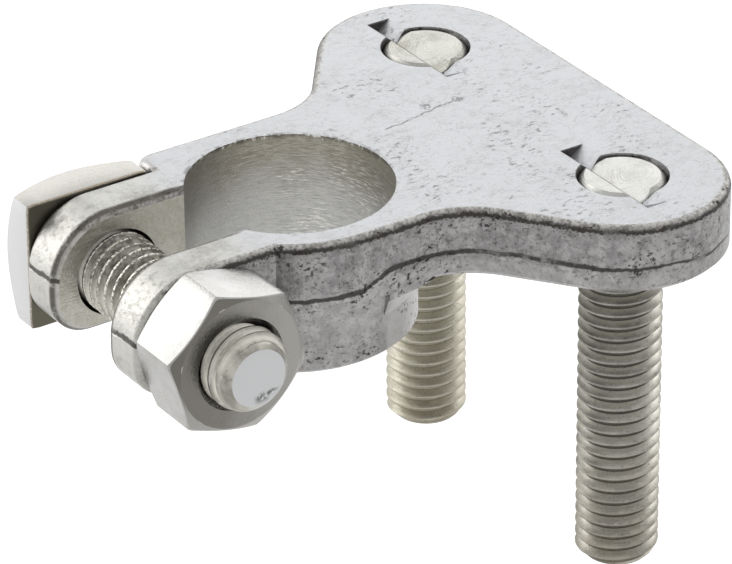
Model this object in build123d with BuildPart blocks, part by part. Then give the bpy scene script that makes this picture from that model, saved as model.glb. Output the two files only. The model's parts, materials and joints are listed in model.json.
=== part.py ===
from build123d import *
import os
from math import cos, radians, sin, sqrt, tan

os.makedirs("parts", exist_ok=True)

# Frame: the origin is where the post bore's axis meets the top face, +Z up along the bore,
# +X from the bore towards the studs, +Y towards the square head of the clamp bolt

# Post bore and the collar around it
bore_r = 9.75
collar_r = 11.7
collar_h = 13.5
flank_r = 12.4
flank_foot_r = 10.6
flank_end_x = 2.6
head_flank_y = 12.75
root_w = 2.7
root_waist = 0.8

# Plate
plate_t = 6.8
stud_pitch = 32.0
stud_x = 26.0
lobe_r = 10.2
lobe_offset = -0.3
web_angle = 53.0
web_blend_r = 8.0

# Ears and the slot between them
slot_w = 9.3
ear_y = 9.6
ear_h = 11.7
ear_end_x = -22.7
ear_crown_r = 6.4
ear_toe_r = 4.0
stop_gap = 0.35
shoulder_r = 1.6
ear_hole_r = 4.3

# Edges of the casting: a round top rim, and bevels at the underside, the collar's foot and the slot
rim_r = 0.8
under_bevel = 0.5
foot_bevel = 0.35
slot_bevel = 0.6

# One thread size for the studs, the bolt and the nut, and the fits around it
thread_r = 3.95
stud_play = 0.05
press = 0.04
nut_play = 0.05

# Studs, relieved above the plate's underside, and the punched groove that stakes each of them
stud_end_z = -40.2
stud_relief_w = 1.0
stud_relief_depth = 0.5
stud_point = 0.9
stud_top_bevel = 0.5
sink_r = 4.35
sink_depth = 1.1
groove_w = 2.6
groove_depth = 1.05
groove_len = 14.2
groove_run_out = 1.6
groove_offset = -0.7

# Clamp bolt with its square head
bolt_x = -15.85
bolt_z = -6.4
head_af = 12.8
head_t = 4.2
head_face_r = 6.2
bolt_out = 3.0
bolt_point = 1.15

# Hexagon nut
nut_af = 13.0
nut_t = 6.5
nut_face_r = 6.25
nut_turn = 46.0
nut_sink_r = 4.5
nut_sink_depth = 0.6

# Bevel shared by the head and the nut
bevel_angle = 30.0

# Values that follow from the sizes above
stud_y = stud_pitch / 2
stud_hole_r = thread_r + stud_play
lobe_x = stud_x + lobe_offset
ear_t = ear_y - slot_w / 2
stop_x = bolt_x + head_af / 2 + stop_gap
flank_start = (stop_x, -sqrt(flank_r**2 - stop_x**2))
crown_x = ear_end_x + ear_crown_r
flank_h = collar_h - plate_t
lobe_sweep = 90 + web_angle
web_along = Vector(cos(radians(web_angle)), sin(radians(web_angle)))
web_top = Vector(lobe_x, stud_y) + Vector(-web_along.Y, web_along.X) * lobe_r
head_web_low = web_top - web_along * ((web_top.Y - head_flank_y) / web_along.Y)
nut_web_low = web_top - web_along * ((web_top.Y - flank_r) / web_along.Y)
plate_end_x = lobe_x + lobe_r
groove_start = groove_len / 2
bevel_run = 1 / tan(radians(bevel_angle))
head_seat = Plane(origin=(bolt_x, ear_y, bolt_z), x_dir=(1, 0, 0), z_dir=(0, 1, 0))
nut_seat = Plane(origin=(bolt_x, -ear_y, bolt_z), x_dir=(1, 0, 0), z_dir=(0, -1, 0))
stud_spots = GridLocations(0, stud_pitch, 1, 2)
from_top = (Align.CENTER, Align.CENTER, Align.MAX)
from_bottom = (Align.CENTER, Align.CENTER, Align.MIN)
from_left = (Align.MIN, Align.CENTER, Align.CENTER)

# Plate with the upper half of the collar, which runs out into two round lobes. The collar is round on
# the nut's side, and on the other side its square shoulder stops the bolt's head from turning
with BuildPart() as plate:
    with BuildSketch() as outline:
        with BuildLine():
            Polyline((plate_end_x, 0), (stop_x, 0), (stop_x, head_flank_y), head_web_low, web_top)
            CenterArc((lobe_x, stud_y), lobe_r, lobe_sweep, -lobe_sweep)
            Line((plate_end_x, stud_y), (plate_end_x, 0))
        make_face()
        with BuildLine():
            Polyline((plate_end_x, 0), (stop_x, 0), flank_start)
            TangentArc((0, -flank_r), flank_start, tangent=(-1, 0))
            Polyline((0, -flank_r), (nut_web_low.X, -flank_r), (web_top.X, -web_top.Y))
            CenterArc((lobe_x, -stud_y), lobe_r, -lobe_sweep, lobe_sweep)
            Line((plate_end_x, -stud_y), (plate_end_x, 0))
        make_face()
        fillet(outline.vertices().filter_by(lambda tip: tip.X < 0 and tip.Y > slot_w), shoulder_r)
        knees = outline.vertices().filter_by(lambda knee: bore_r / 2 < knee.X < web_top.X - 0.1)
        fillet(knees.filter_by(lambda knee: abs(knee.Y) > slot_w), web_blend_r)
    extrude(amount=-plate_t)
    fillet(plate.faces().sort_by(Axis.Z)[-1].edges(), rim_r)
    underside = plate.faces().sort_by(Axis.Z)[0].edges()
    chamfer(underside.filter_by(lambda edge: edge.center().X > bore_r / 2), under_bevel)

# Lower collar: a round sleeve
with BuildPart() as collar:
    Cylinder(collar_r, collar_h, align=from_top)
    chamfer(collar.edges().filter_by(GeomType.CIRCLE).sort_by(Axis.Z)[0], foot_bevel)

# Drafted flanks from the plate down to the sleeve: a cone on the nut's side, a flat one behind the head
with BuildPart() as nut_flank:
    with Locations((0, 0, -plate_t)):
        Cone(flank_foot_r, flank_r, flank_h, align=from_top)
    with Locations((flank_end_x, 0, -plate_t)):
        corner = (Align.MAX, Align.MAX, Align.MAX)
        Box(2 * flank_r, 2 * flank_r, 2 * flank_h, align=corner, mode=Mode.INTERSECT)
with BuildPart() as head_flank:
    for level, half_width in ((-collar_h, flank_foot_r), (-plate_t, head_flank_y)):
        with BuildSketch(Plane.XY.offset(level)) as flank:
            with Locations(((stop_x + flank_end_x) / 2, half_width / 2)):
                Rectangle(flank_end_x - stop_x, half_width)
            fillet(flank.vertices().group_by(Axis.X)[0].sort_by(Axis.Y)[-1], shoulder_r)
    loft()

# Hollow root between the plate's underside and the sleeve, steep at the sleeve and flat at the plate
with BuildPart() as root:
    with BuildSketch(Plane.XZ):
        Polygon(
            (bore_r, -plate_t),
            (bore_r, -plate_t - root_w),
            (collar_r, -plate_t - root_w),
            (collar_r + root_waist, -plate_t - root_waist),
            (collar_r + root_w, -plate_t),
            align=None,
        )
    revolve(axis=Axis.Z)
    with Locations((flank_end_x, 0, 0)):
        Box(2 * collar_r, 2 * flank_r, 3 * collar_h, align=from_left, mode=Mode.INTERSECT)

# The ear on the head side, rounded at its end around the clamp bolt
with BuildPart() as ear:
    with BuildSketch(Plane.XZ.offset(-ear_y)) as profile:
        with Locations((ear_end_x, 0)):
            Rectangle(-ear_end_x - bore_r / 2, ear_h, align=(Align.MIN, Align.MAX))
        end_corners = profile.vertices().group_by(Axis.X)[0].sort_by(Axis.Y)
        fillet(end_corners[-1], ear_crown_r)
        fillet(profile.vertices().sort_by(Axis.Y)[:2].sort_by(Axis.X)[0], ear_toe_r)
    extrude(amount=ear_t)
    outer_rim = ear.faces().sort_by(Axis.Y)[-1].edges()
    fillet(outer_rim.filter_by(lambda edge: edge.center().X < -bore_r / 2), rim_r)
    slot_rim = ear.faces().sort_by(Axis.Y)[0].edges()
    chamfer(slot_rim.filter_by(lambda edge: edge.center().X < -bore_r / 2), slot_bevel)

# The V groove that a chisel punch leaves across a stud's end, steep at its start and run out at its foot
with BuildPart() as groove:
    with BuildSketch(Plane.YZ.offset(groove_offset)):
        Polygon(
            (groove_start, groove_depth),
            (groove_start, -groove_depth),
            (groove_start - groove_len + groove_run_out + groove_depth, -groove_depth),
            (groove_start - groove_len - groove_run_out, groove_depth),
            align=None,
        )
    extrude(amount=groove_w, both=True)
    with BuildSketch(Plane.XZ):
        Polygon(
            (groove_offset, -groove_depth),
            (groove_offset + groove_w, groove_depth),
            (groove_offset - groove_w, groove_depth),
            align=None,
        )
    extrude(amount=groove_len, both=True, mode=Mode.INTERSECT)

# The casting: plate, collar and both ears joined, then bored, slotted, drilled and staked
with BuildPart() as casting:
    for piece in (plate, collar, nut_flank, head_flank, root, ear):
        add(piece.part)
    mirror(ear.part, about=Plane.XZ)
    with Locations((ear_end_x, 0, 0)):
        Box(-ear_end_x, slot_w, 3 * collar_h, align=from_left, mode=Mode.SUBTRACT)
    with BuildSketch(Plane.YZ.offset(crown_x)) as slot:
        Rectangle(slot_w, 2 * collar_h)
        Rectangle(2 * ear_y, collar_h, align=(Align.CENTER, Align.MIN))
        chamfer(slot.vertices().filter_by(lambda lip: abs(lip.Y) < ear_y - 0.1 and abs(lip.Z) < 0.1), slot_bevel)
    extrude(amount=-crown_x, mode=Mode.SUBTRACT)
    Cylinder(bore_r, 3 * collar_h, mode=Mode.SUBTRACT)
    with Locations(head_seat.offset(-ear_y)):
        Cylinder(ear_hole_r, 3 * ear_y, mode=Mode.SUBTRACT)
    with stud_spots, Locations((stud_x, 0, 0)):
        Cylinder(stud_hole_r, 3 * plate_t, mode=Mode.SUBTRACT)
        Cone(stud_hole_r, sink_r, sink_depth, align=from_top, mode=Mode.SUBTRACT)
        add(groove.part, mode=Mode.SUBTRACT)
casting.part.label = "clamp_body"

# One stud: a land pressed into the plate and staked at its top, a relief, and a long free thread
with BuildPart() as stud:
    Cylinder(stud_hole_r + press, plate_t - stud_relief_w, align=from_top)
    Cylinder(thread_r - stud_relief_depth, plate_t, align=from_top)
    with Locations((0, 0, -plate_t)):
        Cylinder(thread_r, -plate_t - stud_end_z, align=from_top)
    rims = stud.edges().filter_by(GeomType.CIRCLE).sort_by(Axis.Z)
    chamfer(rims[0], stud_point)
    chamfer(rims[-1], stud_top_bevel)
    add(groove.part, mode=Mode.SUBTRACT)

# Clamp bolt: a square head bevelled by a cone, and a round shank that ends in a point
with BuildPart() as bolt:
    with BuildSketch(head_seat):
        Rectangle(head_af, head_af)
    extrude(amount=head_t)
    with Locations(head_seat):
        Cone(head_face_r + head_t * bevel_run, head_face_r, head_t, align=from_bottom, mode=Mode.INTERSECT)
        Cylinder(thread_r, 2 * ear_y + nut_t + bolt_out, align=from_top)
    chamfer(bolt.edges().filter_by(GeomType.CIRCLE).sort_by(Axis.Y)[0], bolt_point)
bolt.part.label = "clamp_bolt"

# Hexagon nut: bevelled and countersunk on both faces
with BuildPart() as nut:
    with BuildSketch(nut_seat):
        RegularPolygon(nut_af / 2, 6, major_radius=False, rotation=nut_turn)
    extrude(amount=nut_t)
    for face in (nut_seat.offset(nut_t), Plane(nut_seat.origin, (1, 0, 0), (0, 1, 0))):
        with Locations(face):
            Cone(nut_face_r + nut_t * bevel_run, nut_face_r, nut_t, align=from_top, mode=Mode.INTERSECT)
            Cone(thread_r, nut_sink_r, nut_sink_depth, align=from_top, mode=Mode.SUBTRACT)
    with Locations(nut_seat):
        Cylinder(thread_r + nut_play, 3 * nut_t, mode=Mode.SUBTRACT)
nut.part.label = "hex_nut"

export_step(casting.part, "parts/clamp_body.step")
export_step(bolt.part, "parts/clamp_bolt.step")
export_step(nut.part, "parts/hex_nut.step")
for name, y in (("stud_back", stud_y), ("stud_front", -stud_y)):
    placed = Pos(stud_x, y, 0) * stud.part
    placed.label = name
    export_step(placed, f"parts/{name}.step")
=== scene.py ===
import json
import math

import bmesh
import bpy
import numpy as np
from mathutils import Matrix, Vector


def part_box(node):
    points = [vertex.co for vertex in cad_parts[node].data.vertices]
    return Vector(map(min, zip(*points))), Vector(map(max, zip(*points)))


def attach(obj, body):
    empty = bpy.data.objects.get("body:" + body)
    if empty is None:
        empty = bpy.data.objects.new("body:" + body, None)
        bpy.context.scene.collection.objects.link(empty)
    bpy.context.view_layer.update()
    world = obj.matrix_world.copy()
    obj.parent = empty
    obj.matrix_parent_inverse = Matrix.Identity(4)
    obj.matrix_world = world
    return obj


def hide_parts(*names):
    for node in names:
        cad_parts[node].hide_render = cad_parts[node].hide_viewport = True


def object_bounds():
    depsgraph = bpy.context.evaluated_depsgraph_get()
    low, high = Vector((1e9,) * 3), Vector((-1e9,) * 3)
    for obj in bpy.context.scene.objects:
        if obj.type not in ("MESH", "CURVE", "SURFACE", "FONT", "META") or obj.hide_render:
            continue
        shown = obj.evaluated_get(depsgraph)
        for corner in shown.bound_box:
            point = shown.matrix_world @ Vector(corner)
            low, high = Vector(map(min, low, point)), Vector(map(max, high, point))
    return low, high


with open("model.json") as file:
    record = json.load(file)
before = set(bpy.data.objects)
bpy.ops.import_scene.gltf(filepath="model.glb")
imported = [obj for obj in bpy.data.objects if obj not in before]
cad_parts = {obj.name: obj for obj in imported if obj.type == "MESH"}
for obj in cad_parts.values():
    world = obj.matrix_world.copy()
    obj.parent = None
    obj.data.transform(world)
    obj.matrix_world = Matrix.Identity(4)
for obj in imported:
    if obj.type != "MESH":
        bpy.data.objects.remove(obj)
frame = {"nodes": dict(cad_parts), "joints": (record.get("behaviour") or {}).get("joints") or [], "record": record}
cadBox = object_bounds()
print("stage: frame loaded, CAD box", [round(v, 4) for corner in cadBox for v in corner])

mm = 0.001
scene = bpy.context.scene
mounts = {m["name"]: m for m in frame["record"]["mounts"]}
joints = {j["name"]: j for j in frame["joints"]}


# Numpy surfaces

def gridFaces(rows, columns, wrapColumns=True, twist=0):
    # quads between neighbouring rows and columns of a grid, whose columns close into a ring where they wrap;
    # twist is how many rows earlier the first column stands where the last one meets it
    i = np.arange(rows - 1)[:, None]
    j = np.arange(columns if wrapColumns else columns - 1)[None, :]
    nextI, nextJ = i + 1, (j + 1) % columns
    back = np.where(j + 1 == columns, twist, 0)
    near, far = np.maximum(i - back, 0), np.maximum(nextI - back, 0)
    corners = np.broadcast_arrays(i * columns + j, near * columns + nextJ, far * columns + nextJ, nextI * columns + j)
    return np.stack(corners, -1).reshape(-1, 4)


def weldedMesh(name, parts):
    # parts are (points, quads) in millimetres; coincident points are welded, which closes poles and seams
    points = np.concatenate([p for p, q in parts]) * mm
    starts = np.cumsum([0] + [len(p) for p, q in parts[:-1]])
    quads = np.concatenate([q + s for (p, q), s in zip(parts, starts)])
    mesh = bpy.data.meshes.new(name)
    mesh.from_pydata(points.tolist(), [], quads.tolist())
    work = bmesh.new()
    work.from_mesh(mesh)
    bmesh.ops.remove_doubles(work, verts=work.verts, dist=2e-7)
    bmesh.ops.recalc_face_normals(work, faces=work.faces)
    work.to_mesh(mesh)
    work.free()
    mesh.polygons.foreach_set("use_smooth", np.ones(len(mesh.polygons), bool))
    mesh.set_sharp_from_angle(angle=math.radians(24))
    piece = bpy.data.objects.new(name, mesh)
    scene.collection.objects.link(piece)
    return piece


def turned(radius, height, angle, centre, along):
    # each row is one ring: point = centre + along * height + radius * (cos angle * e1 + sin angle * e2)
    along = np.array(along, float)
    e1 = np.array([1.0, 0.0, 0.0])
    e2 = np.cross(along, e1)
    radius, height = np.broadcast_arrays(radius, height)
    ring = np.cos(angle)[None, :, None] * e1 + np.sin(angle)[None, :, None] * e2
    points = np.array(centre, float) + radius[..., None] * ring + height[..., None] * along
    return points.reshape(-1, 3)


# Thread: one 60 degree profile for the studs, the bolt and the nut

thread = {
    "majorR": mounts["stud_pin_front"]["dims"]["r_mm"],
    "pitch": 1.25,
    "crest": 0.085,     # half the flat crest, as a share of the pitch
    "root": 0.085,      # half the flat root
    # rows of points, as shares of a turn
    "rows": (0.0, 0.07, 0.10, 0.25, 0.40, 0.43, 0.50, 0.57, 0.60, 0.75, 0.90, 0.93),
}
thread["flank"] = 0.5 - thread["crest"] - thread["root"]
thread["depth"] = thread["flank"] * thread["pitch"] / math.tan(math.radians(30))


def threadCut(height, angle, start=0.0):
    # depth below the crest; the phase is 0 on a crest, and height / pitch - angle / turn makes it right-hand
    phase = (height / thread["pitch"] - angle / (2 * math.pi) - start) % 1.0
    away = np.minimum(phase, 1 - phase)
    return thread["depth"] * np.clip((away - thread["crest"]) / thread["flank"], 0, 1)


def threadSkin(top, bottom, angle, start=0.0):
    # heights, cuts and quads of a thread: rows run along the helix, so its edges stay sharp, and both ends are flat
    first = math.floor(bottom / thread["pitch"]) - 2
    last = math.ceil(top / thread["pitch"]) + 2
    turns = (np.arange(first, last)[:, None] + np.array(thread["rows"])[None, :]).reshape(-1)[::-1, None]
    height = np.clip((turns + start + angle[None, :] / (2 * math.pi)) * thread["pitch"], bottom, top)
    quads = gridFaces(len(height), len(angle), twist=len(thread["rows"]))
    return height, threadCut(height, angle, start), quads


def polygonRadius(angle, sides, apothem, corner, turn=0.0):
    # polar radius of a regular polygon with round corners: a corner's circle near it, else apothem / cos
    half = math.pi / sides
    away = np.abs((angle - turn + half) % (2 * half) - half)     # from the middle of the flat
    fromCorner = half - away
    centre = (apothem - corner) / math.cos(half)
    tangent = math.atan2(corner * math.sin(half), centre + corner * math.cos(half))
    inside = np.maximum(corner ** 2 - (centre * np.sin(fromCorner)) ** 2, 0)
    return np.where(fromCorner < tangent, centre * np.cos(fromCorner) + np.sqrt(inside), apothem / np.cos(away))


# Studs: a round end with a punched V groove and a bevel, a land in the plate, then the helical thread

stud = {
    "landR": 4.04, "landEnd": -5.8, "reliefR": 3.45,
    "bevel": 0.5, "point": 0.9,
    "grooveX": -0.7, "grooveHalf": 1.3, "grooveDepth": 1.05,
    "steps": 48, "chord": 33,       # points along half a turn, and along each chord of the end
    "frontStart": 0.14, "backStart": 0.0,   # where each thread starts, as a share of a turn
}
studX = mounts["stud_pin_front"]["pos_m"][0] / mm
studY = abs(mounts["stud_pin_front"]["pos_m"][1]) / mm


def studGroove(x):
    # V across the end, as deep as the distance in from its edge times its slope
    return -np.maximum(0, stud["grooveDepth"] * (1 - np.abs(x - stud["grooveX"]) / stud["grooveHalf"]))


def makeStud(name, node, mount, start):
    low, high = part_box(node)
    plateLow = mounts[mount]["pos_m"][2] / mm
    axis = np.array([mounts[mount]["pos_m"][0] / mm, mounts[mount]["pos_m"][1] / mm, 0.0])
    end = low.z / mm
    flatR = stud["landR"] - stud["bevel"]
    edges = np.array([stud["grooveX"] + k * stud["grooveHalf"] for k in (-1, 0, 1)])
    half = np.unique(np.concatenate([np.linspace(0, math.pi, stud["steps"] + 1), np.arccos(edges / flatR)]))
    angle = np.concatenate([half, 2 * math.pi - half[-2:0:-1]])

    # end face: chords across the groove's direction, x = r cos a and y = r sin a * s for s from -1 to 1
    s = np.linspace(-1, 1, stud["chord"])[None, :]
    x = np.broadcast_to(flatR * np.cos(half)[:, None], (len(half), s.shape[1]))
    y = flatR * np.sin(half)[:, None] * s
    face = np.stack([x, y, studGroove(x)], -1).reshape(-1, 3) + axis
    faceQuads = gridFaces(len(half), s.shape[1], wrapColumns=False)

    # bevel, cut by the same groove, and the land down to the relief
    bevelR = np.linspace(flatR, stud["landR"], 5)[:, None] + 0 * angle
    bevelZ = np.minimum(flatR - bevelR, studGroove(bevelR * np.cos(angle)))
    landZ = bevelZ[-1] + np.linspace(0, 1, 5)[1:, None] * (stud["landEnd"] - bevelZ[-1])
    reliefZ = np.array([[stud["landEnd"]], [plateLow], [plateLow]])
    reliefR = np.full((3, 1), stud["reliefR"])

    # thread, held inside the cone of the point, and the flat end
    threadH, threadIn, threadQuads = threadSkin(plateLow, end, angle, start)
    cone = thread["majorR"] - stud["point"] + (threadH - end)
    threadR = np.minimum(thread["majorR"] - threadIn, cone)
    capR = np.linspace(thread["majorR"] - stud["point"], 0, 6)[:, None] + 0 * angle

    radius = np.concatenate([bevelR, 0 * landZ + stud["landR"], reliefR + 0 * angle, threadR[:1]])
    height = np.concatenate([bevelZ, landZ, reliefZ + 0 * angle, threadH[:1]])
    upper = turned(radius, height, angle, axis, (0, 0, 1))
    shank = turned(threadR, threadH, angle, axis, (0, 0, 1))
    cap = turned(capR, 0 * capR + end, angle, axis, (0, 0, 1))
    parts = [(face, faceQuads), (upper, gridFaces(len(radius), len(angle))), (shank, threadQuads)]
    piece = weldedMesh(name, parts + [(cap, gridFaces(len(capR), len(angle)))])
    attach(piece, "clamp")
    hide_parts(node)
    return piece


# Clamp bolt: square head bevelled by a cone, threaded shank with a pointed end

bolt = {
    "faceR": 6.2, "bevelTan": math.tan(math.radians(30)), "corner": 0.3, "edge": 0.14,
    "seatR": 5.0,           # a ring of points on the head's underside
    "point": 1.15, "dome": 0.05, "steps": 96,
}
boltX, boltZ = joints["nut_spin"]["pos_m"][0] / mm, joints["nut_spin"]["pos_m"][2] / mm
boltSeat = -joints["nut_spin"]["pos_m"][1] / mm
boltAxis = (boltX, 0.0, boltZ)


def bevelledFace(wall, faceR, top, edge, slope):
    # rows from the flat face out to the wall: flat, cone falling by slope, then a round edge
    flat = np.array([0.0, 0.5, 0.9, 0.985])[:, None] * faceR + 0 * wall
    run = wall - edge * 0.6 - faceR
    cone = faceR + np.array([0.02, 0.12, 0.4, 0.7, 1.0])[:, None] * run
    radius = np.concatenate([flat, cone])
    height = top - slope * np.maximum(0, radius - faceR)
    turn = np.radians([30, 60, 90])[:, None]
    roundR = wall - edge * 0.6 * (1 - np.sin(turn))
    roundH = height[-1] - slope * edge * 0.3 - edge * (1 - np.cos(turn)) * 0.8
    return np.concatenate([radius, roundR]), np.concatenate([height, roundH])


def makeBolt(name, node):
    # rows along the bolt's axis: the bevelled face out to the square wall, its underside in to the shank,
    # the thread held inside the cone of the point, and a slightly domed end
    low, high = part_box(node)
    seat, edge = boltSeat, bolt["edge"]
    across = (high.x - low.x) / mm
    headTop, tip = high.y / mm, low.y / mm + bolt["dome"]
    angle = np.linspace(0, 2 * math.pi, bolt["steps"], endpoint=False)
    wall = polygonRadius(angle, 4, across / 2, bolt["corner"])
    faceR, faceH = bevelledFace(wall, bolt["faceR"], headTop, edge, bolt["bevelTan"])
    rings = 0 * wall + np.array([[bolt["seatR"]], [thread["majorR"]]])
    underR = np.concatenate([[wall, wall - edge * 0.3, wall - edge], rings])
    underH = np.array([edge, edge * 0.3, 0, 0, 0])[:, None] + seat + 0 * wall
    shankH, shankIn, shankQuads = threadSkin(seat, tip, angle)
    cone = thread["majorR"] - bolt["point"] + (shankH - tip)
    shankR = np.minimum(thread["majorR"] - shankIn, cone)
    capShare = np.array([1.0, 0.97, 0.9, 0.6, 0.3, 0.0])[:, None]
    capR = capShare * (thread["majorR"] - bolt["point"]) + 0 * angle
    capH = tip - bolt["dome"] * (1 - capShare ** 6) + 0 * angle
    radius = np.concatenate([faceR, underR, shankR[:1]])
    height = np.concatenate([faceH, underH, shankH[:1]])
    head = turned(radius, height, angle, boltAxis, (0, 1, 0))
    shank = turned(shankR, shankH, angle, boltAxis, (0, 1, 0))
    cap = turned(capR, capH, angle, boltAxis, (0, 1, 0))
    parts = [(head, gridFaces(len(radius), len(angle))), (shank, shankQuads)]
    piece = weldedMesh(name, parts + [(cap, gridFaces(len(capR), len(angle)))])
    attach(piece, "bolt")
    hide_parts(node)
    return piece


# Hexagon nut: both faces bevelled and countersunk, with an inner thread that follows the bolt's

nut = {
    "acrossFlats": 13.0, "turn": 46.0, "corner": 0.22, "edge": 0.12,
    "faceR": 6.25, "sinkR": 4.5, "sinkDepth": 0.6, "play": 0.06, "steps": 120,
}


def makeNut(name, node):
    # rows from the countersink out over the bevelled face, down the hexagon and back in below;
    # the thread inside is the bolt's, wider by the play
    low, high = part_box(node)
    inner, outer = -high.y / mm, -low.y / mm       # heights along -Y, the way out of the nut
    angle = np.linspace(0, 2 * math.pi, nut["steps"], endpoint=False)
    turn = math.radians(nut["turn"]) + math.pi / 6
    wall = polygonRadius(angle, 6, nut["acrossFlats"] / 2, nut["corner"], turn)
    faceR, faceH = bevelledFace(wall, nut["faceR"], outer, nut["edge"], bolt["bevelTan"])
    keep = faceR[:, 0] > nut["sinkR"] + 0.2
    faceR, faceH = faceR[keep], faceH[keep]
    backR, backH = faceR[::-1], inner + outer - faceH[::-1]
    boreH, boreIn, boreQuads = threadSkin(outer - nut["sinkDepth"], inner + nut["sinkDepth"], angle)
    boreR = thread["majorR"] + nut["play"] - boreIn
    sink = np.array([0.0, 0.5, 1.0])[:, None]
    outerSinkR = boreR[0] + (nut["sinkR"] - boreR[0]) * sink
    innerSinkR = boreR[-1] + (nut["sinkR"] - boreR[-1]) * sink[::-1]
    outerSinkH = outer - nut["sinkDepth"] * (1 - sink) + 0 * angle
    innerSinkH = inner + nut["sinkDepth"] * (1 - sink[::-1]) + 0 * angle
    radius = np.concatenate([outerSinkR, faceR, backR, innerSinkR])
    height = np.concatenate([outerSinkH, faceH, backH, innerSinkH])
    shell = turned(radius, height, angle, boltAxis, (0, -1, 0))
    bore = turned(boreR, boreH, angle, boltAxis, (0, -1, 0))
    piece = weldedMesh(name, [(shell, gridFaces(len(radius), len(angle))), (bore, boreQuads)])
    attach(piece, "nut")
    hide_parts(node)
    return piece


# Collar flanks: the casting runs smoothly from the plate's wall into the flank below it

flank = {
    "bevelTop": -6.3, "plateLow": -6.8, "bevel": 0.5, "startX": -9.1,
    "nutR": 12.4, "nutFullX": 6.5, "nutEndX": 7.7,          # nut side: radius, and where the wall fades out
    "headY": 12.75, "headFullX": 2.2, "headEndX": 2.6,      # head side
}


def bevelFill(name, x, y, inX, inY, fullX, endX):
    # a three-cornered section at each point of the path: the bevel's upper edge, the wall below it,
    # and the bevel's lower edge; the wall's height fades out between fullX and endX
    full = 1 - np.clip((x - fullX) / (endX - fullX), 0, 1)
    drop = (flank["bevelTop"] - flank["plateLow"]) * np.maximum(full, 0.02)
    depth = flank["bevel"]
    upper = np.stack([x, y, 0 * x + flank["bevelTop"]], -1)
    lower = np.stack([x, y, flank["bevelTop"] - drop], -1)
    inner = np.stack([x + inX * depth, y + inY * depth, 0 * x + flank["plateLow"]], -1)
    middle = (upper + lower + inner) / 3
    rings = np.stack([upper, lower, inner], 1)
    ends = np.repeat(middle[[0, -1]][:, None], 3, axis=1)
    points = np.concatenate([ends[:1], rings, ends[1:]]).reshape(-1, 3)
    piece = weldedMesh(name, [(points, gridFaces(len(x) + 2, 3))])
    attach(piece, "clamp")
    return piece


def makeFlankSkin(name):
    # nut side: an arc round the bore, and then straight along the plate
    arc = np.linspace(math.asin(flank["startX"] / flank["nutR"]), 0, 60)
    run = np.linspace(0, flank["nutEndX"], 40)[1:]
    x = np.concatenate([flank["nutR"] * np.sin(arc), run])
    y = np.concatenate([-flank["nutR"] * np.cos(arc), 0 * run - flank["nutR"]])
    inX = np.concatenate([-np.sin(arc), 0 * run])
    inY = np.concatenate([np.cos(arc), 0 * run + 1])
    return bevelFill(name, x, y, inX, inY, flank["nutFullX"], flank["nutEndX"])


def makeShoulderSkin(name):
    # head side: straight from the flank's end back to the shoulder behind the square head
    x = np.linspace(flank["headEndX"], flank["startX"], 40)
    return bevelFill(name, x, 0 * x + flank["headY"], 0 * x, 0 * x - 1, flank["headFullX"], flank["headEndX"])


studFront = makeStud("threaded_stud_front", "stud_front", "stud_pin_front", stud["frontStart"])
studBack = makeStud("threaded_stud_back", "stud_back", "stud_pin_back", stud["backStart"])
clampBolt = makeBolt("square_head_bolt", "clamp_bolt")
hexNut = makeNut("bevelled_hex_nut", "hex_nut")
flankSkin = makeFlankSkin("collar_flank_skin")
shoulderSkin = makeShoulderSkin("shoulder_flank_skin")
casting = frame["nodes"]["clamp_body"]
print("stage: threads, bolt, nut and flank made")


# Shader helpers: a wrapped socket whose arithmetic adds Math nodes, and the node tree that it belongs to

class Wire:
    def __init__(self, graph, socket):
        self.graph, self.socket = graph, socket

    def math(self, how, *values):
        return self.graph.node("ShaderNodeMath", {"operation": how}, values)

    def __add__(self, other):
        return self.math("ADD", self, other)

    __radd__ = __add__

    def __sub__(self, other):
        return self.math("SUBTRACT", self, other)

    def __rsub__(self, other):
        return self.math("SUBTRACT", other, self)

    def __mul__(self, other):
        return self.math("MULTIPLY", self, other)

    __rmul__ = __mul__

    def __pow__(self, other):
        return self.math("POWER", self, other)

    def __abs__(self):
        return self.math("ABSOLUTE", self)

    def high(self, other):
        return self.math("MAXIMUM", self, other)

    def step(self, low, high):
        # smooth rise from 0 to 1 between low and high, or a fall where low is above high
        if low > high:
            return 1 - self.step(high, low)
        return self.graph.node("ShaderNodeMapRange", {"interpolation_type": "SMOOTHSTEP"}, (self, low, high, 0.0, 1.0))

    def hump(self, middle, half):
        # 1 at the middle, falling to 0 at half either side
        return abs(self - middle).step(half, 0)


class Graph:
    # one node tree: node() adds any node, from its type, its settings, and the values or links of its sockets
    def __init__(self, tree):
        self.tree = tree

    def node(self, kind, settings, values, output=0):
        made = self.tree.nodes.new(kind)
        for key, value in settings.items():
            setattr(made, key, value)
        for key, value in (values.items() if isinstance(values, dict) else enumerate(values)):
            if isinstance(value, Wire):
                self.tree.links.new(value.socket, made.inputs[key])
            else:
                made.inputs[key].default_value = value
        return Wire(self, made.outputs[output])

    def split(self, vector):
        parts = self.node("ShaderNodeSeparateXYZ", {}, (vector,))
        return [Wire(self, socket) for socket in parts.socket.node.outputs]

    def feed(self, shader, name, value):
        self.tree.links.new(value.socket, shader.inputs[name])


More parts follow.
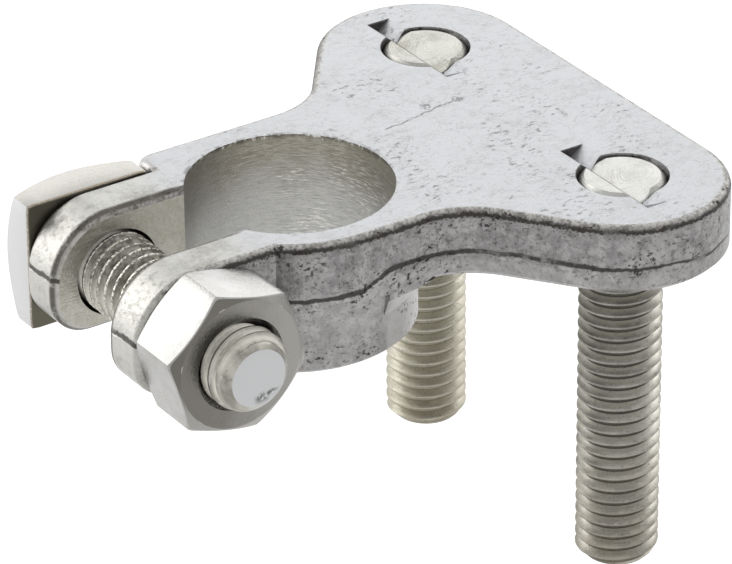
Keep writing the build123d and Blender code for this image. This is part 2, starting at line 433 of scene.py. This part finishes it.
class Paint(Graph):
    # one metal's material, with what its finish reads: the place in millimetres, the normal and noise
    def __init__(self, name, metallic, roughness):
        self.material = bpy.data.materials.new(name)
        self.material.use_nodes = True
        super().__init__(self.material.node_tree)
        self.shader = self.tree.nodes["Principled BSDF"]
        self.shader.inputs["Metallic"].default_value = metallic
        self.shader.inputs["Roughness"].default_value = roughness
        found = self.tree.nodes.new("ShaderNodeTexCoord").outputs
        metres, normal = Wire(self, found["Object"]), Wire(self, found["Normal"])
        self.place = self.node("ShaderNodeVectorMath", {"operation": "SCALE"}, {0: metres, "Scale": 1 / mm})
        self.x, self.y, self.z = self.split(self.place)
        self.nx, self.ny, self.nz = self.split(normal)

    def noise(self, perMm, detail, rough, where=None, stretch=None):
        where = where or self.place
        if stretch:
            where = self.node("ShaderNodeVectorMath", {"operation": "MULTIPLY"}, (where, stretch))
        values = {"Vector": where, "Scale": perMm, "Detail": detail, "Roughness": rough}
        return self.node("ShaderNodeTexNoise", {}, values)

    def mix(self, share, a, b):
        # colour from a to b
        a, b = [v if isinstance(v, Wire) else (*v, 1.0) for v in (a, b)]
        return self.node("ShaderNodeMix", {"data_type": "RGBA"}, {0: share, 6: a, 7: b}, output=2)

    def finish(self, colour, roughness, height, depth):
        bump = self.node("ShaderNodeBump", {}, {"Strength": 1.0, "Distance": depth * mm, "Height": height})
        self.feed(self.shader, "Base Color", colour)
        self.feed(self.shader, "Roughness", roughness)
        self.feed(self.shader, "Normal", bump)
        return self.material


def flatDistance(dx, dy):
    return (dx * dx + dy * dy) ** 0.5


def studDistance(p):
    return flatDistance(p.x - studX, abs(p.y) - studY)


def boltDistance(p):
    return flatDistance(p.x - boltX, p.z - boltZ)


# Casting: tinned metal, pale and scuffed on the flat top, pitted and dark on the cast sides, whose darkness is partly
# painted shade, machined in the bore

# the dark grime colour serves both real dirt and painted shade; the glint colour is a painted highlight
cast = {
    "top": (0.44, 0.448, 0.462), "topDull": (0.375, 0.38, 0.388), "topMark": (0.12, 0.115, 0.108),
    "side": (0.24, 0.234, 0.233), "sideLight": (0.40, 0.393, 0.391), "glint": (0.58, 0.57, 0.56),
    "ear": (0.25, 0.243, 0.213), "earLight": (0.44, 0.434, 0.405), "crown": (0.49, 0.482, 0.45),
    "bore": (0.345, 0.325, 0.262), "boreLow": (0.52, 0.52, 0.508), "boreLight": (0.62, 0.605, 0.555),
    "boreShine": (0.86, 0.85, 0.80), "slot": (0.50, 0.485, 0.41),
    "grime": (0.028, 0.024, 0.021), "soot": (0.07, 0.061, 0.05),
    "worn": (0.22, 0.21, 0.19), "wornLight": (0.46, 0.45, 0.43),
    "boreR": mounts["post_bore"]["dims"]["r_mm"],
    "crownX": -16.3,                        # where the ears' tops start to curve down
    "scratch": (13.2, 3.7, 22.7, 5.3),      # from x, y to x, y
    "blots": ((18.8, 5.5), (22.4, 5.2)),    # x, y of two dark spots beside the scratch
    "lowLine": -5.55, "highLine": -4.25,    # height of the mould's parting line on the collar, and on the plate
}


class CastPaint(Paint):
    # the casting's noises from coarse to fine, and its zones as shares from 0 to 1
    def __init__(self):
        super().__init__("tinned_casting", 0.92, 0.4)
        self.cloud = self.noise(0.20, 3, 0.5)
        self.mottle = self.noise(0.85, 6, 0.65)
        self.fine = self.noise(3.2, 5, 0.65)
        self.grain = self.noise(9.0, 3, 0.6)
        crownX, boreR = cast["crownX"], cast["boreR"]
        self.crown = self.x.step(crownX + 0.6, crownX - 0.6) * abs(self.ny).step(0.35, 0.15)
        self.nearStuds = studDistance(self).step(8.2, 7.6)
        flatTop = self.nz.step(0.93, 0.995) * self.z.step(-0.6, -0.2)
        self.onTop = flatTop.high(self.nearStuds * self.nz.step(0.4, 0.5) * self.z.step(-1.6, -1.2))
        self.radial = flatDistance(self.x, self.y)
        inBore = self.radial.step(boreR + 0.2, boreR + 0.05) * abs(self.nz).step(0.5, 0.2)
        self.inSlot = abs(self.y).step(4.9, 4.75) * abs(self.ny).step(0.8, 0.95) * self.x.step(-7.5, -8.5)
        self.machined = inBore.high(self.inSlot)


def castSides(p, ears):
    # light and dark patches with painted glints, grime and soot, running into the ears and their crowns with a painted
    # sheen
    colour = p.mix((0.7 * p.mottle + 0.3 * p.cloud).step(0.40, 0.62), cast["side"], cast["sideLight"])
    colour = p.mix(p.fine.step(0.58, 0.72) * 0.45, colour, cast["glint"])
    colour = p.mix(p.fine.step(0.44, 0.33) * 0.65, colour, cast["grime"])
    colour = p.mix(p.noise(1.5, 5, 0.7).step(0.46, 0.36) * 0.45, colour, cast["soot"])
    # a painted highlight along the plate's lower edge
    under = p.z.step(-7.0, -7.6) * p.x.step(2.5, 3.5)
    colour = p.mix(under * 0.6, colour, cast["glint"])
    # painted sheen on the ears' crowns, fading lower down
    fading = (p.z + (p.mottle - 0.5) * 4.0).step(-5.5, -10.0)
    shine = p.crown * (0.35 + 0.65 * p.mottle.step(0.36, 0.50)) * (1 - 0.6 * fading)
    colour = p.mix(p.x.step(-12.0, -16.0), colour, p.mix(shine, ears, cast["crown"]))
    # below the parting line the wall is painted lighter, a painted highlight
    return p.mix(p.z.step(-4.6, -5.4) * 0.22, colour, cast["glint"])


def topWear(p):
    # short dark marks in drifts, hairlines, one long scratch with its spots, and chips along the bore
    drift = p.noise(0.13, 3, 0.55)
    marks = p.noise(1.7, 5, 0.7, stretch=(0.6, 1.0, 1.0)).step(0.545, 0.64) * drift.step(0.47, 0.60)
    hairs = abs(p.noise(0.42, 4, 0.55, stretch=(0.5, 1.0, 1.0)) - 0.5).step(0.006, 0.001) * p.fine.step(0.42, 0.56)
    startX, startY, endX, endY = cast["scratch"]
    length = math.hypot(endX - startX, endY - startY)
    alongX, alongY = (endX - startX) / length, (endY - startY) / length
    along = (p.x - startX) * alongX + (p.y - startY) * alongY
    across = (p.y - startY) * alongX - (p.x - startX) * alongY + (p.noise(0.7, 3, 0.6) - 0.5) * 1.2
    scratch = abs(across).step(0.17, 0.05) * (0.35 + 0.65 * p.mottle.step(0.40, 0.52))
    scratch = scratch * along.step(-0.3, 0.3) * along.step(length + 0.3, length - 0.3)
    blots = 0.0
    for spotX, spotY in cast["blots"]:
        spot = (p.x - spotX) ** 2 + (p.y - spotY) ** 2 + (p.mottle - 0.5) * 2.4 + (p.fine - 0.5) * 2.6
        blots = spot.step(0.35, 0.1).high(blots)
    chips = p.radial.step(cast["boreR"] + 0.55, cast["boreR"] + 0.1) * p.mottle.step(0.49, 0.56) * p.y.step(-3.0, 2.0)
    return (marks * 0.75).high(hairs * 0.55).high(scratch * 0.8).high(blots * 0.7).high(chips * 0.7)


def castTop(p, wear, ears):
    # soft dull patches under the wear, running into the ears' tops
    colour = p.mix((0.5 * p.mottle + 0.3 * p.fine + 0.2 * p.cloud).step(0.38, 0.54), cast["topDull"], cast["top"])
    colour = p.mix(wear, colour, cast["topMark"])
    return p.mix(p.x.step(-7.0, -13.0) * 0.75, colour, ears)


def castBore(p):
    # paler towards the foot, streaked, with painted light and a painted shine most on the right and painted shade on
    # its upper left, darker and chipped under its upper edge
    streaks = p.noise(2.0, 5, 0.65, stretch=(0.5, 0.5, 4.0))
    toRight = p.x.step(-3.0, 5.0)
    colour = p.mix((p.z + p.cloud * 6.0).step(2.0, -4.5), cast["bore"], cast["boreLow"])
    # painted shade on the bore's upper left
    colour = p.mix(p.x.step(3.0, -6.0) * (p.z + p.cloud * 5.0).step(-4.0, 3.0) * 0.45, colour, cast["side"])
    # streaks painted lighter towards the right, as painted light
    colour = p.mix(streaks.step(0.44, 0.62) * (0.2 + 0.25 * toRight), colour, cast["boreLight"])
    colour = p.mix(streaks.step(0.47, 0.36) * (0.15 + 0.2 * toRight), colour, cast["side"])
    # painted shine on the right of the bore
    shine = streaks.step(0.55, 0.60) * toRight * p.cloud.step(0.42, 0.54) * (0.25 + 0.65 * p.z.step(-1.0, -5.0))
    colour = p.mix(shine, colour, cast["boreShine"])
    # darker under the upper edge
    colour = p.mix((p.z + (p.mottle - 0.5) * 1.6).step(-0.5, 0.1) * 0.75, colour, cast["soot"])
    chips = (p.z + (p.fine - 0.5) * 1.2).step(-0.35, -0.10) * p.noise(1.3, 4, 0.6).step(0.52, 0.57)
    return p.mix(chips * p.y.step(0.0, 3.0) * 0.85, colour, cast["boreShine"])


def partingLine(p):
    # the mould's line, low on the collar and the ears, then up and level along the plate: a dark seam, partly painted
    # shade under its ledge, and a lip under it that takes a painted highlight
    rise = (cast["highLine"] - cast["lowLine"]) * p.x.step(-0.8, 3.2)
    level = cast["lowLine"] + rise - 0.45 * p.x.step(23.0, 30.0)
    wander = (p.noise(0.5, 3, 0.5) - 0.5) * 0.7
    below = level + wander - p.z                  # distance under the line
    upright = abs(p.nz).step(0.55, 0.3) * (1 - p.machined)
    fade = (0.6 * p.cloud + 0.4 * p.mottle).step(0.36, 0.46)
    thin = 0.10 * p.x.step(17.0, 22.0)
    seam = (abs(below + (p.fine - 0.5) * 0.3) + thin).step(0.32, 0.14) * upright * fade * p.x.step(36.0, 30.0)
    return seam, below.hump(0.46, 0.24) * upright * p.mottle.step(0.46, 0.58)


def castPits(p):
    # casting pits, in drifts, few of them on the ears
    drifts = p.noise(0.17, 2, 0.5, stretch=(1.0, 1.0, 1.6)).step(0.46, 0.60)
    holes = p.noise(1.9, 4, 0.65, stretch=(1.0, 1.0, 1.3)).step(0.565, 0.64)
    return holes * (0.08 + 0.92 * drifts) * (1 - p.onTop) * (1 - p.machined) * p.x.step(-17.0, -11.0).high(0.15)


def castRim(p, colour):
    # the top's rim is rubbed and speckled, with painted shade and grime where the wall starts
    nearTop = p.z.step(-1.4, -1.0)
    shoulder = p.x.step(-7.4, -8.2) * p.y.step(9.9, 10.4)
    onRim = nearTop * (1 - p.crown) * (1 - p.nearStuds) * (1 - shoulder)
    rubbed = p.nz.step(0.55, 0.80) * p.nz.step(1.0, 0.985) * onRim
    worn = p.mix((0.6 * p.fine + 0.4 * p.mottle).step(0.42, 0.56), cast["worn"], cast["wornLight"])
    colour = p.mix(rubbed * 0.8, colour, worn)
    # a dark band where the rim turns down into the wall: painted shade with patchy grime, inside a softer haze of
    # painted shade
    ragged = p.nz + (p.fine - 0.5) * 0.9 + (p.mottle - 0.5) * 0.5
    patchy = (0.5 * p.cloud + 0.5 * p.mottle).step(0.32, 0.46)
    grime = ragged.step(0.08, 0.22) * ragged.step(0.70, 0.46) * onRim * patchy * (1 - p.machined)
    haze = ragged.step(-0.05, 0.30) * ragged.step(1.0, 0.60) * onRim * p.fine.step(0.36, 0.52)
    # a painted highlight on the shoulder behind the head
    colour = p.mix(shoulder * nearTop * (1 - p.onTop) * 0.7, colour, cast["glint"])

    # soot along the slot's edges, the rim's painted shade, and painted shade in the notches beside the studs and in the
    # crevice round them
    slotRim = abs(p.y).hump(5.2, 0.5).step(0.05, 0.8) * p.x.step(-8.2, -9.6) * (1 - p.machined)
    slotDirt = slotRim * (0.5 * p.mottle + 0.5 * p.fine).step(0.34, 0.52)
    colour = p.mix((haze * 0.5).high(slotDirt * 0.85) * (1 - p.machined), colour, cast["soot"])
    colour = p.mix(grime * 0.86, colour, cast["grime"])
    # painted shade on the notch walls and round the studs' crevice
    notch = p.nearStuds * abs(p.ny).step(0.25, 0.5) * p.nz.step(0.97, 0.9) * p.z.step(-0.1, -0.2)
    crevice = studDistance(p).step(4.7, 4.3) * p.nz.step(0.97, 0.9) * p.z.step(-1.4, -1.2)
    return p.mix((notch * 0.75).high(crevice * 0.15), colour, cast["grime"]), grime


def castFinish():
    p = CastPaint()
    ears = p.mix((0.4 * p.cloud + 0.4 * p.mottle + 0.2 * p.fine).step(0.40, 0.58), cast["ear"], cast["earLight"])
    slot = p.mix((0.5 * p.mottle + 0.5 * p.fine).step(0.38, 0.62), cast["slot"], cast["boreLight"])
    wear, pits = topWear(p), castPits(p)
    seam, lip = partingLine(p)
    # the cast sides are darker than the top, partly their own skin and partly painted shade
    colour = p.mix(p.onTop, castSides(p, ears), castTop(p, wear, ears))
    colour = p.mix(p.machined, colour, p.mix(p.inSlot, castBore(p), slot))
    # the seam painted dark, partly as the shade under its ledge
    colour = p.mix(seam * 0.88, colour, cast["grime"])
    # a painted highlight on the lip
    colour = p.mix(lip * 0.35, colour, cast["glint"])
    colour, grime = castRim(p, colour)
    colour = p.mix(pits * 0.85, colour, cast["grime"])
    roughness = 0.30 + 0.16 * p.mottle + 0.25 * pits + 0.08 * p.onTop
    turning = p.noise(1.0, 4, 0.65, stretch=(0.2, 0.2, 7.0)) * p.machined
    height = p.mottle * 0.5 + p.fine * 0.35 + p.grain * 0.12 - pits * 0.9 - seam * 0.8 + lip * 0.4 - grime * 0.4
    return p.finish(colour, roughness, height - wear * 0.15 + turning * 0.5, 0.12)


# Plated steel of the studs and the bolt, with painted shade in the thread's roots

plated = {
    "dull": (0.27, 0.26, 0.228), "bright": (0.48, 0.465, 0.415), "rubbed": (0.62, 0.61, 0.565),
    "inner": (0.78, 0.76, 0.68), "root": (0.03, 0.027, 0.021), "seat": (0.13, 0.122, 0.095),
    "soiled": (0.05, 0.046, 0.036), "yellowed": (0.58, 0.555, 0.45), "aged": (0.29, 0.255, 0.185),
    "end": (0.40, 0.397, 0.368), "endDull": (0.25, 0.243, 0.21), "endBlue": (0.56, 0.565, 0.57),
    "head": (0.43, 0.42, 0.39), "headDull": (0.37, 0.36, 0.335), "headLeft": (0.57, 0.575, 0.57),
    "warm": (0.22, 0.17, 0.115),
    "arcX": 1.2,            # how far beside the stud's middle the tool arcs of its end are centred
}


def threadColour(p, distance, threaded, facingRoot, blotch, streak):
    # bright along each turn, and dark only at the bottom of the groove and on the flank that hides it, where the dark
    # is painted shade
    colour = p.mix(blotch.step(0.38, 0.62), plated["dull"], plated["bright"])
    colour = p.mix(streak.step(0.54, 0.70) * 0.6, colour, plated["rubbed"])
    colour = p.mix(streak.step(0.42, 0.30) * 0.5, colour, plated["root"])
    cut = thread["majorR"] - distance
    # the crest painted duller, painted shade that tones down its highlight
    colour = p.mix(cut.step(0.06, 0.0) * threaded * 0.45, colour, plated["dull"])
    # the flank painted lighter towards the root, painted light against the groove's shade
    colour = p.mix(cut.step(0.05, 0.5) * threaded * 0.9, colour, plated["inner"])
    # painted shade in the root and on the hidden flank
    bottom = cut.step(thread["depth"] * 0.84, thread["depth"] * 0.98)
    return p.mix((bottom.high(facingRoot * 0.8) * 0.9) * threaded, colour, plated["root"])


def studFinish():
    p = Paint("plated_stud", 0.94, 0.32)
    streak = p.noise(1.3, 5, 0.65, stretch=(1.0, 1.0, 2.2))
    blotch = p.noise(0.35, 4, 0.6)
    fine = p.noise(5.0, 4, 0.6)
    threaded = p.z.step(-6.4, -6.9)
    colour = threadColour(p, studDistance(p), threaded, p.nz.step(-0.25, -0.45), blotch, streak)
    colour = p.mix(p.y.step(0.0, 5.0) * threaded * 0.55, colour, plated["yellowed"])     # the back stud is cleaner
    aged = p.z.step(-24.0, -40.0) * threaded * (0.15 + 0.35 * blotch.step(0.40, 0.60))
    colour = p.mix(aged, colour, plated["aged"])
    colour = p.mix(fine.step(0.42, 0.32) * threaded * 0.5, colour, plated["root"])

    # the end: arcs left by a tool, and painted shade round its rim where it meets the crevice
    onEnd = p.z.step(-3.0, -2.0)
    fromArcs = flatDistance(p.x - studX - plated["arcX"], abs(p.y) - studY)
    arcs = p.noise(5.5, 3, 0.6, where=p.node("ShaderNodeCombineXYZ", {}, (fromArcs, 0.0, 0.0)))
    ends = p.mix((0.45 * blotch + 0.25 * fine + 0.3 * arcs).step(0.40, 0.56), plated["endDull"], plated["end"])
    rimShade = (studDistance(p) + (blotch - 0.5) * 0.6).step(3.74, 3.98)
    ends = p.mix(rimShade * 0.75, ends, plated["root"])
    ends = p.mix(p.y.step(2.0, -2.0) * 0.3, ends, plated["endBlue"])
    colour = p.mix(onEnd, colour, ends)
    roughness = 0.27 + 0.16 * blotch + 0.10 * threaded
    return p.finish(colour, roughness, fine * 0.4 + streak * 0.4 + arcs * onEnd * 0.9, 0.05)


def boltFinish():
    p = Paint("plated_bolt", 0.94, 0.32)
    streak = p.noise(1.3, 5, 0.65, stretch=(1.0, 2.2, 1.0))
    blotch = p.noise(0.35, 4, 0.6)
    fine = p.noise(4.0, 4, 0.6)
    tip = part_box("clamp_bolt")[0].y / mm
    distance = boltDistance(p)
    threaded = p.y.step(boltSeat, boltSeat - 0.1) * p.y.step(tip + 0.7, tip + 1.1)
    colour = threadColour(p, distance, threaded, p.ny.step(0.25, 0.45), blotch, streak)

    # darker between the ears, with its crests rubbed bright and painted with glints
    inGap = abs(p.y).step(5.2, 4.6)
    crest = (thread["majorR"] - distance).step(0.12, 0.03)
    soiled = inGap * p.nz.step(-0.1, 0.5) * (0.45 + 0.4 * streak.step(0.40, 0.60))
    colour = p.mix(soiled, colour, plated["soiled"])
    colour = p.mix(inGap * crest * fine.step(0.44, 0.54) * 0.8, colour, plated["inner"])

    # head: a left side painted paler as painted light, a warm line at its lower edge, and an underside painted dark as
    # shade
    head = p.mix((0.5 * blotch + 0.5 * fine).step(0.42, 0.60), plated["headDull"], plated["head"])
    colour = p.mix(p.y.step(9.5, 9.7), colour, head)
    colour = p.mix(p.nx.step(-0.7, -0.95) * p.y.step(boltSeat, boltSeat + 0.1), colour, plated["headLeft"])
    edge = abs(p.y - boltSeat - 0.12).step(0.26, 0.12) * fine.step(0.34, 0.48)
    colour = p.mix(edge * 0.8, colour, plated["warm"])
    colour = p.mix(p.ny.step(-0.7, -0.95) * p.y.step(boltSeat - 0.3, boltSeat - 0.1), colour, plated["seat"])

    # end of the shank, smudged on one side
    smudge = distance.hump(2.0, 0.8) * p.z.step(-7.4, -8.2) * p.x.step(-16.6, -15.8)
    smudge = smudge * p.noise(1.6, 4, 0.6).step(0.42, 0.56)
    end = p.mix(smudge * 0.8, plated["endBlue"], plated["root"])
    colour = p.mix(p.ny.step(-0.9, -0.97) * p.y.step(-10.0, -12.0), colour, end)
    return p.finish(colour, 0.27 + 0.18 * blotch, fine * 0.5 + streak * 0.4, 0.05)


# Nut: bright plated sides, with a duller face towards its thread painted darker as shade

# the face's colours are darker than the sides' as painted shade
nutPaint = {
    "side": (0.43, 0.427, 0.42), "sideDull": (0.375, 0.37, 0.355),
    "bevel": (0.33, 0.32, 0.30), "bevelDark": (0.16, 0.152, 0.137),
    "face": (0.19, 0.181, 0.165), "faceLight": (0.34, 0.33, 0.31),
}


def nutFinish():
    p = Paint("bright_nut", 0.96, 0.26)
    blotch = p.noise(0.35, 4, 0.6)
    fine = p.noise(3.5, 5, 0.65)
    colour = p.mix(blotch.step(0.40, 0.62), nutPaint["sideDull"], nutPaint["side"])
    onBevel = abs(p.ny).hump(0.866, 0.06).step(0.0, 0.5)        # a cone of 30 degrees
    # painted shade on the bevel's upper left
    shade = (p.x - p.z + (fine - 0.5) * 2.0).step(-11.0, -16.0)
    colour = p.mix(onBevel, colour, p.mix(shade, nutPaint["bevel"], nutPaint["bevelDark"]))
    # the face painted lighter towards its right, as painted light
    light = (p.x + (blotch - 0.5) * 8.0 + (fine - 0.5) * 3.0).step(-20.5, -10.0)
    colour = p.mix(abs(p.ny).step(0.95, 0.99), colour, p.mix(light, nutPaint["face"], nutPaint["faceLight"]))
    # painted shade in the countersink round the bolt
    colour = p.mix(boltDistance(p).step(4.3, 3.8), colour, plated["root"])
    return p.finish(colour, 0.20 + 0.16 * blotch, fine, 0.03)


def dress(material, *pieces):
    for piece in pieces:
        piece.data.materials.clear()
        piece.data.materials.append(material)


dress(castFinish(), casting, flankSkin, shoulderSkin)
dress(studFinish(), studFront, studBack)
dress(boltFinish(), clampBolt)
dress(nutFinish(), hexNut)
print("stage: finishes made")


# Studio: world, floor, lamps

studio = {
    "worldFill": 0.45, "floorGlow": 0.45,
    "floorDrop": 90.0,      # millimetres below the part
    "floorSize": 6.0,       # metres
}


def seenDirectly(graph):
    # 1 for camera, glossy and transmission rays, 0 for the light that falls on the object
    path = graph.tree.nodes.new("ShaderNodeLightPath").outputs
    rays = [Wire(graph, path[name]) for name in ("Is Camera Ray", "Is Glossy Ray", "Is Transmission Ray")]
    return rays[0].high(rays[1]).high(rays[2])


def makeWorld():
    world = bpy.data.worlds.new("studio")
    world.use_nodes = True
    graph = Graph(world.node_tree)
    background = graph.tree.nodes["Background"]
    background.inputs["Color"].default_value = (1, 1, 1, 1)
    values = {"Value": seenDirectly(graph), "To Min": studio["worldFill"], "To Max": 1.0}
    graph.feed(background, "Strength", graph.node("ShaderNodeMapRange", {}, values))
    scene.world = world


def makeFloor():
    low = cadBox[0].z - studio["floorDrop"] * mm
    half = studio["floorSize"] / 2
    corners = [(-half, -half, low), (half, -half, low), (half, half, low), (-half, half, low)]
    mesh = bpy.data.meshes.new("floor")
    mesh.from_pydata(corners, [], [(0, 1, 2, 3)])
    floor = bpy.data.objects.new("floor", mesh)
    scene.collection.objects.link(floor)
    material = bpy.data.materials.new("pale_floor")
    material.use_nodes = True
    graph = Graph(material.node_tree)
    shader = graph.tree.nodes["Principled BSDF"]
    shader.inputs["Base Color"].default_value = (0.9, 0.9, 0.9, 1)
    shader.inputs["Roughness"].default_value = 1.0
    shader.inputs["Specular IOR Level"].default_value = 0.0
    shader.inputs["Emission Color"].default_value = (1, 1, 1, 1)
    graph.feed(shader, "Emission Strength", seenDirectly(graph) * studio["floorGlow"])
    mesh.materials.append(material)


# azimuth from the front and elevation in degrees, the rest in metres
softboxes = {
    "back_softbox": {"azimuth": 145, "elevation": 25, "distance": 0.8, "width": 0.6, "height": 0.5, "radiance": 1.35},
    "left_softbox": {"azimuth": -145, "elevation": 20, "distance": 0.6, "width": 0.42, "height": 0.62, "radiance": 2.1},
    "right_softbox": {"azimuth": 100, "elevation": 18, "distance": 0.6, "width": 0.24, "height": 0.56, "radiance": 1.15},
}


def softbox(name, azimuth, elevation, distance, width, height, radiance):
    # a lamp that faces the object; power from its radiance, which is power / (pi * area)
    a, e = math.radians(azimuth), math.radians(elevation)
    place = Vector((math.sin(a) * math.cos(e), -math.cos(a) * math.cos(e), math.sin(e))) * distance
    lamp = bpy.data.lights.new(name, "AREA")
    lamp.shape = "RECTANGLE"
    lamp.size, lamp.size_y = width, height
    lamp.energy = radiance * math.pi * width * height
    holder = bpy.data.objects.new(name, lamp)
    scene.collection.objects.link(holder)
    holder.location = place
    holder.rotation_mode = "QUATERNION"
    holder.rotation_quaternion = place.to_track_quat("Z", "Y")


makeWorld()
makeFloor()
for name, values in softboxes.items():
    softbox(name, **values)


# Camera: a long lens at the photo's angle, turned so that the origin falls on its own pixel

camera = {
    "azimuth": -32.778, "elevation": 27.9268, "roll": -0.8953,      # degrees
    "distance": 500.0,                                              # millimetres from the origin
    "focalPixels": 5459.46, "originX": 290.04, "originY": 183.08,   # in pixels of the photo
    "width": 732, "height": 564,
}


def makeCamera():
    c = camera
    a, e, roll = (math.radians(c[k]) for k in ("azimuth", "elevation", "roll"))
    back = np.array([math.sin(a) * math.cos(e), -math.cos(a) * math.cos(e), math.sin(e)])
    right = np.cross(-back, [0, 0, 1])
    right /= np.linalg.norm(right)
    down = np.cross(-back, right)
    turn = np.array([[math.cos(roll), -math.sin(roll), 0], [math.sin(roll), math.cos(roll), 0], [0, 0, 1]])
    # swing the view so that the origin falls on its pixel
    aimX = (c["originX"] - c["width"] / 2) / c["focalPixels"]
    aimY = (c["originY"] - c["height"] / 2) / c["focalPixels"]
    swing = Vector((0, 0, 1)).rotation_difference(Vector((aimX, aimY, 1.0))).to_matrix()
    rows = np.array(swing) @ turn @ np.array([right, down, -back])
    lens = bpy.data.cameras.new("camera")
    lens.sensor_width = 36.0
    lens.lens = c["focalPixels"] / c["width"] * lens.sensor_width
    lens.clip_start, lens.clip_end = 0.01, 20.0
    holder = bpy.data.objects.new("camera", lens)
    scene.collection.objects.link(holder)
    place = Matrix.Identity(4)
    for column, axis in enumerate((rows[0], -rows[1], -rows[2])):
        for row in range(3):
            place[row][column] = axis[row]
    place.translation = Vector(back * c["distance"] * mm)
    holder.matrix_world = place
    scene.camera = holder


makeCamera()
scene.view_settings.view_transform = "Standard"
print("stage: studio and camera set")
